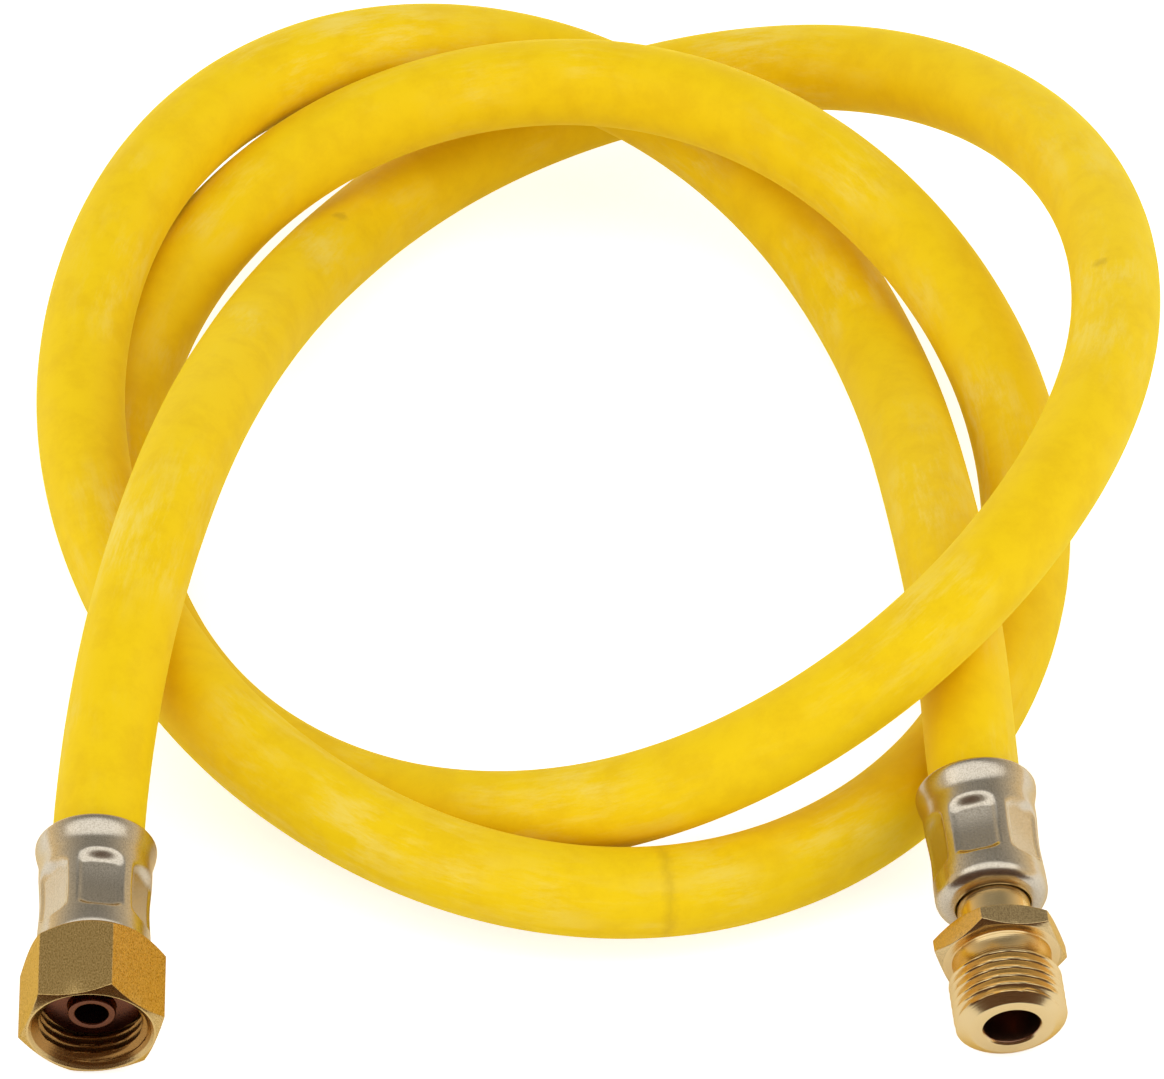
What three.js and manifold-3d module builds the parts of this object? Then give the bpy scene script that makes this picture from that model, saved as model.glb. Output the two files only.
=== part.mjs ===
// Flexible gas hose: a rubber hose lying in two loose loops, with a swivel nut crimped on one end
// and a male fitting on the other. Millimetres, +Z up, the floor at z = 0.
import * as THREE from 'three';
import { NURBSCurve } from 'three/addons/curves/NURBSCurve.js';
import { mergeVertices } from 'three/addons/utils/BufferGeometryUtils.js';
import Module from 'manifold-3d';

const wasm = await Module();
wasm.setup();

const GAP = 0.3; // between pieces that touch on the real hose
const EDGE = 0.4; // small chamfer on a turned edge
const CUT_MARGIN = 1; // that a cutting prism stands past its blank
const ROUND = 36; // facets round a turned piece

// Hose
const HOSE_OD = 17;
const HOSE_BORE = 10;
const HOSE_SIDES = 12;
const BORE_SIDES = 8;
const HOSE_STEPS = 80;

// Guide points of the hose's centre line, from its end in the nut's ferrule to its end in the male one.
// The curve starts and ends on the outer points and runs smoothly past the others.
const ROUTE = [
  [-82.5, -8.5, 17.7], [-82.5, 2, 20.4], [-82.5, 23, 25.8], [-77.5, 62, 40], [-67, 109, 46.5],
  [-56, 167, 28.5], [-44, 211, 14.5], [-19, 249, 12], [23, 268, 18.5], [70, 257, 30.5], [105, 210, 42.5],
  [113, 131, 56.5], [92, 66, 55.8], [55, 30, 40.2], [12, 23, 21], [-33, 38, 10], [-70, 77, 7.6],
  [-87, 140, 11], [-75, 196, 22.5], [-39, 232, 35.5], [13, 239, 42], [60, 214, 37], [91, 160, 24.5],
  [94, 96, 15.5], [73, 41, 13], [35, 11, 12.5], [-8, 8, 16], [-46, 29, 21.5], [-76, 73, 23],
  [-94, 140, 28], [-82, 208, 39], [-45, 248, 41.5], [4, 256, 33.5], [45, 233, 17], [67, 180, 11.5],
  [73, 107, 33], [78, 60, 34.5], [79, 35, 26.4], [81.3, 15, 20.6], [82.5, 4.5, 17.6],
];
const ROUTE_DEGREE = 3;

// Barbed stem of each fitting, inside the hose's bore
const STEM_LENGTH = 19;
const STEM_WALL = 1.15;
const BARB_HEIGHT = 0.5;
const BARB_COUNT = 4;
const BARB_SLOPE_SHARE = 0.8; // of a barb's length that rises
const NECK_DIAMETER = 13.6; // in front of the stem, through the ferrule's mouth

// Ferrules: pressed steel sleeves with a rolled lip, six pressed flats and a front curled in to the neck
const FERRULE_LENGTH = 26.4;
const FERRULE_GRIP = 21.8; // length of hose held, from the lip to the hose's end
const FERRULE_WALL = 0.8;
const FERRULE_CLEARANCE = 0.4; // between the hose and the pressed flats
const FERRULE_SIDES = 48;
const PRESS_COUNT = 6;
const PRESS_DEPTH = 0.8;
const PRESS_FROM_LIP = 10.2; // where a pressed flat starts
const PRESS_LENGTH = 8.4;
const PRESS_REAR_SLOPE = 4;
const PRESS_FRONT_SLOPE = 1.8;
const LIP_FLARE = 0.75;
const LIP_LENGTH = 3;
const LIP_ROUND = 0.7;
const MOUTH_RIM = 0.5; // flat rim round the neck, inside the curled front
const NUT_FERRULE_TURN = 8.5; // degrees that a pressed flat stands to the right of the top
const MALE_FERRULE_TURN = -14;
const MALE_FERRULE_BACK = 3; // that it grips further back than the nut's ferrule

// Parallel pipe thread of half-inch size, drawn as rings at its pitch
const THREAD_MAJOR = 20.955;
const THREAD_DEPTH = 1.162;
const THREAD_PITCH = 1.814;

// Swivel nut, whose rear skirt covers the curled front of its ferrule
const NUT_WALL = 1.52; // between the thread and the flats
const NUT_LENGTH = 17.3;
const NUT_SKIRT = 0.7;
const NUT_SKIRT_COVER = 1.6;
const NUT_REAR_CHAMFER = 49; // degrees from the axis
const NUT_MOUTH_CHAMFER = 0.27; // beyond the thread's major diameter
const NUT_SEAT_DEPTH = 6.3; // from the mouth to the tail's collar
const NUT_THREAD_LENGTH = 5.6;
const NUT_TURN = -13; // degrees that the top flat leans to the left

// Tail that carries the nut
const COLLAR_THICKNESS = 3;
const COLLAR_CLEARANCE = 0.4; // round the collar, inside the nut
const NOSE_WALL = 1.35;
const NOSE_LENGTH = 2.2;

// Male fitting
const HEX_RIM = 0.52; // height of its flats over the thread
const HEX_THICKNESS = 4.6;
const HEX_FROM_FERRULE = 7.3;
const HEX_TURN = 11;
const HEX_CHAMFER = 60; // degrees from the axis, of the nut's front too
const GROOVE_DEPTH = 0.2; // below the thread's root
const GROOVE_LENGTH = 4.6;
const MALE_THREAD_LENGTH = 9.2;
const END_CHAMFER_LENGTH = 1.6;
const END_CHAMFER_DEPTH = 1.5; // below the thread's root
const NECK_WALL = 1.7;
const MALE_BORE_DEPTH = 16;

// Sizes that follow. Places along a fitting are measured from the hose's end, outwards.
const degrees = THREE.MathUtils.degToRad;
const PRESS_RADIUS = HOSE_OD / 2 + FERRULE_CLEARANCE + FERRULE_WALL;
const SLEEVE_RADIUS = PRESS_RADIUS + PRESS_DEPTH;
const SLEEVE_INSIDE = SLEEVE_RADIUS - FERRULE_WALL;
const FERRULE_FRONT = FERRULE_LENGTH - FERRULE_GRIP;
const NECK_HOLE = NECK_DIAMETER / 2 + GAP;
const CURL_RADIUS = SLEEVE_RADIUS - NECK_HOLE - MOUTH_RIM;
const BARB_RADIUS = HOSE_BORE / 2 - GAP;
const STEM_RADIUS = BARB_RADIUS - BARB_HEIGHT;
const STEM_BORE = STEM_RADIUS - STEM_WALL;
const THREAD_TOP = THREAD_MAJOR / 2;
const THREAD_ROOT = THREAD_TOP - THREAD_DEPTH;
const NUT_REAR = FERRULE_FRONT - NUT_SKIRT_COVER;
const NUT_FRONT = NUT_REAR + NUT_LENGTH;
const NUT_FLAT = THREAD_TOP + NUT_WALL;
const COLLAR_RADIUS = THREAD_ROOT - GAP;
const COLLAR_FRONT = NUT_FRONT - NUT_SEAT_DEPTH;
const COLLAR_BACK = COLLAR_FRONT - COLLAR_THICKNESS;

function toManifold(geometry) {
  const bare = geometry.clone();
  bare.deleteAttribute('normal');
  bare.deleteAttribute('uv');
  const merged = mergeVertices(bare);
  return new wasm.Manifold(new wasm.Mesh({
    numProp: 3,
    vertProperties: new Float32Array(merged.attributes.position.array),
    triVerts: new Uint32Array(merged.index.array),
  }));
}

function toGeometry(solid) {
  const mesh = solid.getMesh();
  const geometry = new THREE.BufferGeometry();
  geometry.setAttribute('position', new THREE.BufferAttribute(mesh.vertProperties, 3));
  geometry.setIndex(new THREE.BufferAttribute(mesh.triVerts, 1));
  geometry.computeVertexNormals();
  return geometry;
}

function regularPath(path, sides, radius) {
  for (let k = 0; k < sides; k += 1) {
    const angle = (2 * Math.PI * k) / sides;
    path[k ? 'lineTo' : 'moveTo'](radius * Math.cos(angle), radius * Math.sin(angle));
  }
  path.closePath();
  return path;
}

// Turns a closed outline of [radius, height] points, given anticlockwise, about +Z.
function turned(outline, facets = ROUND) {
  const points = [...outline, outline[0]].map(([radius, height]) => new THREE.Vector2(radius, height));
  return new THREE.LatheGeometry(points, facets).rotateX(Math.PI / 2);
}

// Cuts a hexagon's flats on a turned blank that stands between two heights.
function hexCut(blank, flat, bottom, top) {
  const outline = regularPath(new THREE.Shape(), 6, flat / Math.cos(Math.PI / 6));
  const depth = top - bottom + 2 * CUT_MARGIN;
  const prism = new THREE.ExtrudeGeometry(outline, { depth, bevelEnabled: false });
  return toManifold(blank).intersect(toManifold(prism.translate(0, 0, bottom - CUT_MARGIN)));
}

// Rings of thread that end at a height: [radius, height] points from the lowest ring up.
function threadRings(end, length, ringRadius, betweenRadius) {
  const count = Math.floor(length / THREAD_PITCH);
  const outline = [];
  for (let k = 0; k < count; k += 1) {
    const start = end - (count - k) * THREAD_PITCH;
    outline.push([betweenRadius, start], [ringRadius, start + THREAD_PITCH / 2]);
  }
  return outline;
}

// Outside of the barbed stem, from its tip inside the hose to the neck at the hose's end.
function stemOutline() {
  const barb = STEM_LENGTH / (BARB_COUNT + 1);
  const outline = [[STEM_BORE, -STEM_LENGTH], [STEM_RADIUS, -STEM_LENGTH]];
  for (let k = 0; k < BARB_COUNT; k += 1) {
    outline.push([BARB_RADIUS, -STEM_LENGTH + (k + BARB_SLOPE_SHARE) * barb]);
    outline.push([STEM_RADIUS, -STEM_LENGTH + (k + 1) * barb]);
  }
  outline.push([STEM_RADIUS, GAP], [NECK_DIAMETER / 2, GAP]);
  return outline;
}

function hoseCurve() {
  const spans = ROUTE.length - ROUTE_DEGREE;
  const knots = [];
  for (let k = 0; k < ROUTE.length + ROUTE_DEGREE + 1; k += 1) {
    knots.push(Math.min(Math.max(k - ROUTE_DEGREE, 0), spans) / spans);
  }
  const points = ROUTE.map(([x, y, z]) => new THREE.Vector4(x, y, z, 1));
  return new NURBSCurve(ROUTE_DEGREE, knots, points);
}

// The bore's corners stand outside its true circle, so that the stems keep their clearance.
function hose(curve) {
  const ring = regularPath(new THREE.Shape(), HOSE_SIDES, HOSE_OD / 2);
  ring.holes.push(regularPath(new THREE.Path(), BORE_SIDES, HOSE_BORE / 2 / Math.cos(Math.PI / BORE_SIDES)));
  return new THREE.ExtrudeGeometry(ring, { steps: HOSE_STEPS, extrudePath: curve });
}

// The four heights where a pressed flat begins to sink, lies flat, ends and has risen again.
function pressHeights() {
  const start = PRESS_FROM_LIP - FERRULE_GRIP;
  const end = start + PRESS_LENGTH;
  return [start - PRESS_REAR_SLOPE, start, end, end + PRESS_FRONT_SLOPE];
}

// Moves the sleeve's wall in to a flat wherever it is pressed. One flat faces +Y.
function pressFlats(geometry) {
  const place = geometry.attributes.position;
  const pitch = (2 * Math.PI) / PRESS_COUNT;
  const [top, flatStart, flatEnd, bottom] = pressHeights();
  for (let k = 0; k < place.count; k += 1) {
    const x = place.getX(k);
    const y = place.getY(k);
    const height = place.getZ(k);
    const slope = Math.min((height - top) / (flatStart - top), (bottom - height) / (bottom - flatEnd));
    const fromTop = Math.atan2(x, y);
    const fromFlat = fromTop - pitch * Math.round(fromTop / pitch);
    const sink = Math.max(SLEEVE_RADIUS - PRESS_RADIUS / Math.cos(fromFlat), 0);
    const shrink = 1 - (sink * THREE.MathUtils.clamp(slope, 0, 1)) / Math.hypot(x, y);
    place.setXY(k, x * shrink, y * shrink);
  }
  geometry.computeVertexNormals();
  return geometry;
}

// The front's quarter round at a given distance inside the sleeve's outer face, outermost point first.
function curlOutline(inset, angles) {
  const radius = CURL_RADIUS - inset;
  return angles.map((angle) => [
    SLEEVE_RADIUS - CURL_RADIUS + radius * Math.cos(degrees(angle)),
    FERRULE_FRONT - CURL_RADIUS + radius * Math.sin(degrees(angle)),
  ]);
}

function ferrule() {
  const rear = -FERRULE_GRIP;
  const lip = SLEEVE_RADIUS + LIP_FLARE;
  const heights = pressHeights();
  const outline = [
    [lip - LIP_ROUND, rear],
    [lip, rear + LIP_ROUND],
    [lip, rear + LIP_LENGTH - 2 * LIP_ROUND],
    [SLEEVE_RADIUS, rear + LIP_LENGTH],
    ...heights.map((height) => [SLEEVE_RADIUS, height]),
    ...curlOutline(0, [0, 30, 60, 90]),
    [NECK_HOLE, FERRULE_FRONT],
    [NECK_HOLE, FERRULE_FRONT - FERRULE_WALL],
    ...curlOutline(FERRULE_WALL, [90, 45, 0]),
    ...heights.map((height) => [SLEEVE_INSIDE, height]).reverse(),
    [SLEEVE_INSIDE, rear + LIP_LENGTH],
    [HOSE_OD / 2 + FERRULE_CLEARANCE, rear + LIP_ROUND],
    [HOSE_OD / 2 + FERRULE_CLEARANCE, rear],
  ];
  return pressFlats(turned(outline, FERRULE_SIDES));
}

function nutTail() {
  const nose = COLLAR_FRONT + NOSE_LENGTH;
  return turned([
    ...stemOutline(),
    [NECK_DIAMETER / 2, COLLAR_BACK],
    [COLLAR_RADIUS, COLLAR_BACK],
    [COLLAR_RADIUS, COLLAR_FRONT - EDGE],
    [COLLAR_RADIUS - EDGE, COLLAR_FRONT],
    [STEM_BORE + NOSE_WALL, COLLAR_FRONT],
    [STEM_BORE + NOSE_WALL, nose - EDGE],
    [STEM_BORE + NOSE_WALL - EDGE, nose],
    [STEM_BORE + EDGE, nose],
    [STEM_BORE, nose - EDGE],
  ]);
}

// The nut turns on the tail's neck behind its collar. Its round outside is cut down to a hexagon.
function swivelNut() {
  const shoulder = COLLAR_BACK - GAP;
  const corner = NUT_FLAT / Math.cos(Math.PI / 6) + EDGE / 2;
  const rear = SLEEVE_RADIUS + NUT_SKIRT;
  const rearRise = (corner - rear) / Math.tan(degrees(NUT_REAR_CHAMFER));
  const face = NUT_FLAT - EDGE / 2;
  const frontRise = (corner - face) / Math.tan(degrees(HEX_CHAMFER));
  const mouth = THREAD_TOP + NUT_MOUTH_CHAMFER;
  const threadEnd = NUT_FRONT - (mouth - THREAD_ROOT);
  const threads = threadRings(threadEnd, NUT_THREAD_LENGTH, THREAD_TOP, THREAD_ROOT);
  const relief = COLLAR_RADIUS + COLLAR_CLEARANCE;
  const blank = turned([
    [SLEEVE_RADIUS, NUT_REAR],
    [rear, NUT_REAR],
    [corner, NUT_REAR + rearRise],
    [corner, NUT_FRONT - frontRise],
    [face, NUT_FRONT],
    [mouth, NUT_FRONT],
    [THREAD_ROOT, threadEnd],
    ...threads.reverse(),
    [relief, threads[threads.length - 1][1] - EDGE],
    [relief, shoulder],
    [NECK_HOLE, shoulder],
    [NECK_HOLE, FERRULE_FRONT + GAP],
    [SLEEVE_RADIUS - CURL_RADIUS / 3, FERRULE_FRONT + GAP],
  ]);
  return toGeometry(hexCut(blank, NUT_FLAT, NUT_REAR, NUT_FRONT));
}

// The male fitting is turned from one bar: stem, neck, hexagon, groove, thread and end face.
function maleFitting() {
  const hexRear = FERRULE_FRONT - MALE_FERRULE_BACK + HEX_FROM_FERRULE;
  const hexFront = hexRear + HEX_THICKNESS;
  const grooveEnd = hexFront + GROOVE_LENGTH;
  const threadEnd = grooveEnd + MALE_THREAD_LENGTH;
  const face = threadEnd + END_CHAMFER_LENGTH;
  const groove = THREAD_ROOT - GROOVE_DEPTH;
  const bore = NECK_DIAMETER / 2 - NECK_WALL;
  const boreEnd = face - MALE_BORE_DEPTH;
  const bar = turned([
    ...stemOutline(),
    [NECK_DIAMETER / 2, hexRear + EDGE],
    [groove, hexRear + EDGE],
    [groove, grooveEnd],
    ...threadRings(threadEnd, MALE_THREAD_LENGTH, THREAD_TOP, THREAD_ROOT),
    [THREAD_ROOT, threadEnd],
    [THREAD_TOP - EDGE, threadEnd + EDGE / 2],
    [THREAD_ROOT - END_CHAMFER_DEPTH, face],
    [bore + EDGE, face],
    [bore, face - EDGE],
    [bore, boreEnd],
    [STEM_BORE, boreEnd - (bore - STEM_BORE)],
  ]);
  const flat = THREAD_TOP + HEX_RIM;
  const corner = flat / Math.cos(Math.PI / 6) + EDGE / 2;
  const shoulder = flat - EDGE / 2;
  const rise = (corner - shoulder) / Math.tan(degrees(HEX_CHAMFER));
  const core = NECK_DIAMETER / 2 - EDGE;
  const collar = turned([
    [core, hexRear],
    [shoulder, hexRear],
    [corner, hexRear + rise],
    [corner, hexFront - rise],
    [shoulder, hexFront],
    [core, hexFront],
  ]);
  return toGeometry(toManifold(bar).add(hexCut(collar, flat, hexRear, hexFront)));
}

function named(name, geometry, color, metalness, roughness) {
  const material = new THREE.MeshStandardMaterial({ color, metalness, roughness });
  const mesh = new THREE.Mesh(geometry, material);
  mesh.name = name;
  return mesh;
}

// Stands a fitting's group on the hose's end: its +Z runs out of the hose, its +Y leans up.
function atHoseEnd(curve, place, outward) {
  const group = new THREE.Group();
  const axis = curve.getTangentAt(place).multiplyScalar(outward);
  const side = new THREE.Vector3(0, 0, 1).cross(axis).normalize();
  const up = new THREE.Vector3().crossVectors(axis, side);
  group.quaternion.setFromRotationMatrix(new THREE.Matrix4().makeBasis(side, up, axis));
  group.position.copy(curve.getPointAt(place));
  return group;
}

// Turns a piece about its axis to the right, looking into its open end.
function turnedBy(mesh, turn) {
  mesh.rotation.z = -degrees(turn);
  return mesh;
}

const centreLine = hoseCurve();
const part = new THREE.Group();
part.add(named('hose', hose(centreLine), 0xf2c31c, 0, 0.6));

const nutEnd = atHoseEnd(centreLine, 0, -1);
nutEnd.add(turnedBy(named('ferrule_nut_end', ferrule(), 0xb9b4a8, 1, 0.3), NUT_FERRULE_TURN));
nutEnd.add(named('nut_end_tail', nutTail(), 0x8a5a2e, 1, 0.4));
nutEnd.add(turnedBy(named('swivel_nut', swivelNut(), 0xc99a4a, 1, 0.35), NUT_TURN));
part.add(nutEnd);

const maleEnd = atHoseEnd(centreLine, 1, 1);
const maleFerrule = ferrule().translate(0, 0, -MALE_FERRULE_BACK);
maleEnd.add(turnedBy(named('ferrule_male_end', maleFerrule, 0xb9b4a8, 1, 0.3), MALE_FERRULE_TURN));
maleEnd.add(turnedBy(named('male_end_fitting', maleFitting(), 0xd3a555, 1, 0.35), HEX_TURN));
part.add(maleEnd);

export default part;
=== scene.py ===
"""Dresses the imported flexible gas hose: its rubber hose, both crimped ferrules and the brass at each end.

Lengths inside the classes are millimetres, in each fitting's own frame, and meshes are metres in the row's frame.
"""
import logging
import math
from dataclasses import dataclass, field
from enum import Enum
from functools import partial
from typing import Any, Callable, Mapping, Optional, Sequence

import bmesh
import bpy
import numpy as np
from bpy.types import Material, Mesh, NodeSocket, NodeTree, Object
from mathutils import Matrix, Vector


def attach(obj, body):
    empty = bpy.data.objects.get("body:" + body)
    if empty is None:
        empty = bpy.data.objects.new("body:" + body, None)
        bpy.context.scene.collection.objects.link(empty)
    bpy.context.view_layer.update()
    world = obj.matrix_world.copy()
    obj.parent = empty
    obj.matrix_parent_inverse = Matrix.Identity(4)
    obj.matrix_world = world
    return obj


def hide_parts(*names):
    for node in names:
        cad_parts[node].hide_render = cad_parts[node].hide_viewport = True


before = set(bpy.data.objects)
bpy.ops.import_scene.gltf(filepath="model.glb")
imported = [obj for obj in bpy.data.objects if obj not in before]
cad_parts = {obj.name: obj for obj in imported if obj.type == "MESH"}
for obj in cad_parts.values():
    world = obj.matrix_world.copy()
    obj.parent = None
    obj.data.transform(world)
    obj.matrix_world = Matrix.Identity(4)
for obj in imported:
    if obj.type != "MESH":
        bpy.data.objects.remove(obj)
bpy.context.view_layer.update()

log = logging.getLogger("gas_hose")

MM = 0.001
PHOTO_WIDTH_PX = 1164
WHITE = (1.0, 1.0, 1.0, 1.0)
ROUND_REACH = 0.45  # largest share of an edge that a corner's round takes
ROUND_HOLD = 0.08  # how far behind a round a point holds the flat, as a share of the round
FITTING_ATTRIBUTE = "fitting_place"
WALL_ATTRIBUTE = "wall_place"
Adder = Callable[..., Any]  # add_node with its tree already given


class HoseEnd(Enum):
    """Which end of the hose a fitting stands on."""

    NUT = "nut"
    MALE = "male"


class ThreadSide(Enum):
    """Whether a thread's crests point away from the axis or towards it."""

    OUTSIDE = 1
    INSIDE = -1


class Body(Enum):
    """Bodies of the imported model."""

    ASSEMBLY = "hose_assembly"
    NUT = "swivel_nut"


def linear(hex_colour: str) -> tuple[float, float, float, float]:
    """Turns an sRGB hex colour to linear values.

    Args:
        hex_colour: Six hex digits, with or without a leading hash.

    Returns:
        Red, green, blue and an alpha of 1.
    """
    digits = hex_colour.lstrip("#")
    values = [int(digits[k : k + 2], 16) / 255 for k in (0, 2, 4)]
    red, green, blue = [v / 12.92 if v <= 0.04045 else ((v + 0.055) / 1.055) ** 2.4 for v in values]
    return (red, green, blue, 1.0)


def add_node(
    tree: NodeTree, kind: str, inputs: Optional[Mapping[Any, Any]] = None, output: Any = 0, **settings: Any
) -> Optional[NodeSocket]:
    """Adds a node with its settings, constants and links.

    Args:
        tree: Tree that gets the node.
        kind: Node type's identifier, whose first word ShaderNode may be left out.
        inputs: A constant or another node's output for each input's name or number.
        output: Name or number of the wanted output.
        **settings: Values of the node's own properties.

    Returns:
        The wanted output, or None from a node that has none.
    """
    node = tree.nodes.new(kind if "Node" in kind else f"ShaderNode{kind}")
    for name, value in settings.items():
        setattr(node, name, value)
    for key, value in (inputs or {}).items():
        if isinstance(value, NodeSocket):
            tree.links.new(value, node.inputs[key])
        else:
            node.inputs[key].default_value = value
    return node.outputs[output] if node.outputs else None


def adder(owner: Any) -> Adder:
    """Empties a new material's or world's tree and returns add_node for that tree."""
    owner.use_nodes = True
    owner.node_tree.nodes.clear()
    return partial(add_node, owner.node_tree)


def eased(share: np.ndarray) -> np.ndarray:
    """Returns shares from 0 to 1 that start and stop softly."""
    return share * share * (3 - 2 * share)


def evenly(count: int) -> np.ndarray:
    """Returns evenly spaced angles once round, in degrees."""
    return np.arange(count) * 360 / count


def put(name: str, data: Any) -> Object:
    """Puts a mesh, a curve, a lamp or a camera in the scene and returns its object."""
    made = bpy.data.objects.new(name, data)
    bpy.context.scene.collection.objects.link(made)
    return made


@dataclass(frozen=True)
class Finish:
    """What every finish has: its name and its slot in the record."""

    name: str
    slot: str

    def material(self) -> Material:
        """Returns the finish's material, built once."""
        known = bpy.data.materials.get(self.name)
        if known:
            return known
        made = bpy.data.materials.new(self.name)
        add = adder(made)
        add("OutputMaterial", {"Surface": add("BsdfPrincipled", self.dress(add))})
        return made

    def dress(self, add: Adder) -> dict[str, Any]:
        """Adds the finish's colours, roughness and bump.

        Args:
            add: Adds a node to the material's tree.

        Returns:
            What goes in the Principled shader's sockets.
        """
        raise NotImplementedError


@dataclass(frozen=True)
class CuredRubber(Finish):
    """Yellow rubber, extruded and steam-cured: dull and softly mottled, with a pale chalky bloom in patches.

    The bloom lies where the cured skin rubbed on its neighbours. A few smudges darken it, and a band of painted shade
    marks one faint crease.
    """

    base: str = "#f2cb05"
    deep: str = "#ebc104"
    bloom: str = "#f2d660"
    smudge_and_crease_shade: str = "#b98a1c"
    roughness: float = 0.66
    gloss: float = 0.15
    dust: float = 0.9  # the chalky bloom catches light at the hose's rims
    dust_roughness: float = 0.35
    dust_colour: str = "#ffe63c"
    mottle_mm: float = 9.0
    patch_mm: float = 60.0
    streak_length_mm: float = 20.0
    streak_width_mm: float = 5.0
    grain_mm: float = 0.9  # the real grain is finer than a pixel, so this is as coarse as it needs to show
    grain_depth_mm: float = 0.05
    ragged_mm: float = 1.5
    smudge_mm: float = 30.0
    smudge_share: float = 0.42
    # painted shade: a dark band along one faint crease, which the hose's shape doesn't have
    crease_shade_at_mm: float = 1276.0
    crease_shade_width_mm: float = 1.6
    crease_shade_waver_mm: float = 2.0
    crease_shade_share: float = 0.3

    def smudges_and_crease_shade(self, add: Adder, place: NodeSocket, ragged: NodeSocket) -> NodeSocket:
        """Adds how dark the smudges make the skin, and the painted shade along one crease.

        Args:
            add: Adds a node to the material's tree.
            place: Where the skin is, in metres along and across the hose.
            ragged: A fine noise that frays both.

        Returns:
            A value from 0 to 1.
        """
        dots = add("TexVoronoi", {"Vector": place, "Scale": 1 / (self.smudge_mm * MM), "Randomness": 1.0}, "Distance")
        worn = add("Math", {0: ragged, 1: 0.06, 2: dots}, operation="MULTIPLY_ADD")
        smudged = add(
            "MapRange", {"Value": worn, "From Min": 0.06, "From Max": 0.1, "To Min": self.smudge_share, "To Max": 0.0}
        )
        # the crease's painted shade: a frayed dark band round one place along the hose
        along = add("SeparateXYZ", {0: place})
        middle = (self.crease_shade_at_mm + self.crease_shade_waver_mm / 2) * MM
        off = add("Math", {0: along, 1: middle}, operation="SUBTRACT")
        wavy = add("Math", {0: ragged, 1: self.crease_shade_waver_mm * MM, 2: off}, operation="MULTIPLY_ADD")
        distance = add("Math", {0: wavy}, operation="ABSOLUTE")
        crease_shade = add(
            "MapRange",
            {"Value": distance, "From Max": self.crease_shade_width_mm * MM, "To Min": self.crease_shade_share, "To Max": 0.0},
        )
        return add("Math", {0: smudged, 1: crease_shade}, operation="MAXIMUM")

    def dress(self, add: Adder) -> dict[str, Any]:
        """Adds mottling, patches of bloom, smudges, the painted shade of a crease and grain.

        Args:
            add: Adds a node to the material's tree.

        Returns:
            What goes in the Principled shader's sockets.
        """
        place = add("Attribute", output="Vector", attribute_name=WALL_ATTRIBUTE)
        stretch = self.streak_width_mm / self.streak_length_mm
        drawn_out = add("Mapping", {"Vector": place, "Scale": (stretch, 1.0, 1.0)})
        cloud, patches, mottling, grain, ragged = (
            add("TexNoise", {"Vector": where, "Scale": 1 / (size * MM), "Detail": detail, "Roughness": rough})
            for where, size, detail, rough in (
                (drawn_out, self.streak_width_mm, 7.0, 0.72),
                (place, self.patch_mm, 3.0, 0.6),
                (place, self.mottle_mm, 6.0, 0.68),
                (place, self.grain_mm, 4.0, 0.6),
                (place, self.ragged_mm, 3.0, 0.6),
            )
        )
        lines, spots, mottle = (
            add("MapRange", {"Value": value, "From Min": low, "From Max": high}, interpolation_type="SMOOTHSTEP")
            for value, low, high in ((cloud, 0.43, 0.66), (patches, 0.45, 0.72), (mottling, 0.3, 0.62))
        )
        dusty = add("Math", {0: spots, 1: lines}, operation="MULTIPLY")
        dark = self.smudges_and_crease_shade(add, place, ragged)
        colour: Any = linear(self.deep)
        # the smudges' colour also paints the shade along the crease
        for share, layer in ((mottle, self.base), (dusty, self.bloom), (dark, self.smudge_and_crease_shade)):
            colour = add("Mix", {"Factor": share, 6: colour, 7: linear(layer)}, 2, data_type="RGBA")
        return {
            "Base Color": colour,
            "Normal": add("Bump", {"Height": grain, "Strength": 0.25, "Distance": self.grain_depth_mm * MM}),
            "Roughness": self.roughness,
            "Specular IOR Level": self.gloss,
            "Sheen Weight": self.dust,
            "Sheen Roughness": self.dust_roughness,
            "Sheen Tint": linear(self.dust_colour),
        }


@dataclass(frozen=True)
class PressedSteel(Finish):
    """Plated sheet steel, drawn and pressed: a warm satin silver with grain pulled by the press."""

    base: str = "#d6cdbd"
    shade: str = "#bdb3a1"
    rim: str = "#f6e2b8"  # the plating's yellow, strongest where it is seen at a slant
    roughness: float = 0.25
    line_mm: float = 0.3
    line_length_mm: float = 6.0
    grain_mm: float = 0.3
    grain_depth_mm: float = 0.012

    def dress(self, add: Adder) -> dict[str, Any]:
        """Adds drawing lines and a fine grain.

        Args:
            add: Adds a node to the material's tree.

        Returns:
            What goes in the Principled shader's sockets.
        """
        place = add("Attribute", output="Vector", attribute_name=FITTING_ATTRIBUTE)
        across, along = 1 / (self.line_mm * MM), 1 / (self.line_length_mm * MM)
        lines = add("Mapping", {"Vector": place, "Scale": (across, across, along)})
        drawn, grain = (
            add("TexNoise", {"Vector": where, "Scale": scale, "Detail": detail, "Roughness": rough})
            for where, scale, detail, rough in ((lines, 1.0, 3.0, 0.6), (place, 1 / (self.grain_mm * MM), 5.0, 0.7))
        )
        both = add("Math", {0: drawn, 1: grain}, operation="ADD")
        clear = add("MapRange", {"Value": grain, "From Min": 0.3, "From Max": 0.62}, interpolation_type="SMOOTHSTEP")
        return {
            "Base Color": add(
                "Mix", {"Factor": clear, 6: linear(self.shade), 7: linear(self.base)}, 2, data_type="RGBA"
            ),
            "Normal": add("Bump", {"Height": both, "Strength": 0.5, "Distance": self.grain_depth_mm * MM}),
            "Metallic": 1.0,
            "Specular Tint": linear(self.rim),
            "Roughness": self.roughness,
        }


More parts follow.
